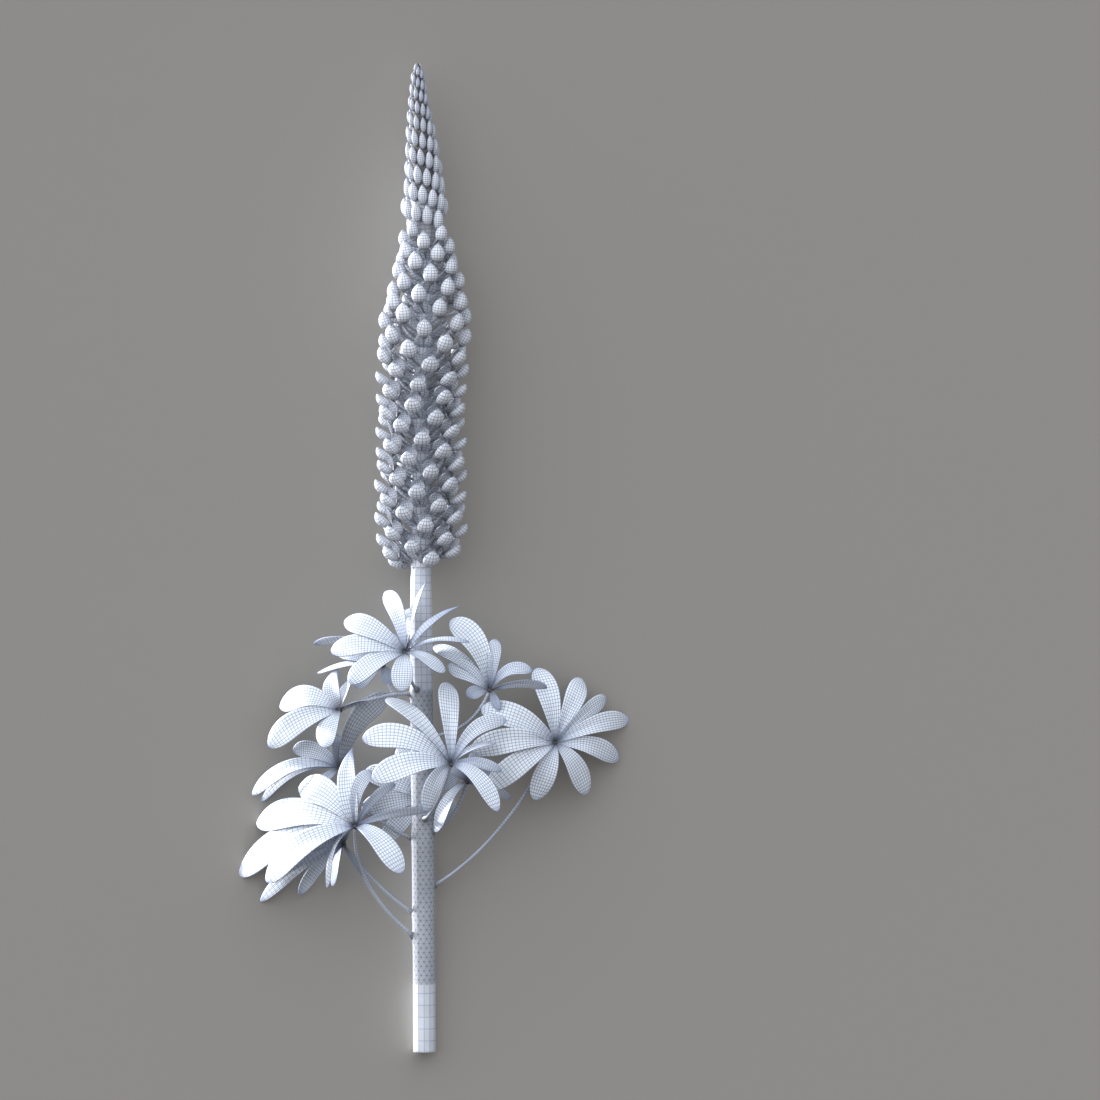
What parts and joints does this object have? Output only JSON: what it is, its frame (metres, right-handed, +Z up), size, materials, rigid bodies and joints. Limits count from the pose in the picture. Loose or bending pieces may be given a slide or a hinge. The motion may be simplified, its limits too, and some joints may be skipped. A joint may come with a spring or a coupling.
{
  "type": "cut lupin stem",
  "caption": "Cut garden lupin stem lying on its side: a long tapering spike of pea flowers and buds above palmate leaves on curved stalks.",
  "frame": {"origin": "on the surface that the stem lies on, under the middle of its box", "axes": "+Y along the stem to the tip of the spike, +Z up from the surface, +X to the right"},
  "size_m": [0.3918, 0.9914, 0.1262],
  "materials": {
    "stalk": "pale cool grey, matte, with a fine darker net over it",
    "flower": "pale cool grey-blue petals, matte, with a close darker net",
    "leaf": "pale bluish white, soft satin, with a fine darker net along each leaflet"
  },
  "bodies": {
    "root": {"stem": "stalk", "flower_spike": "flower", "leaf_top_front": "leaf", "leaf_top_back": "leaf", "leaf_upper_right": "leaf", "leaf_upper_left": "leaf", "leaf_front": "leaf", "leaf_middle_left": "leaf", "leaf_right": "leaf", "leaf_lower_right": "leaf", "leaf_back": "leaf", "leaf_lower_left": "leaf", "leaf_lowest_left": "leaf"}
  },
  "joints": []
}
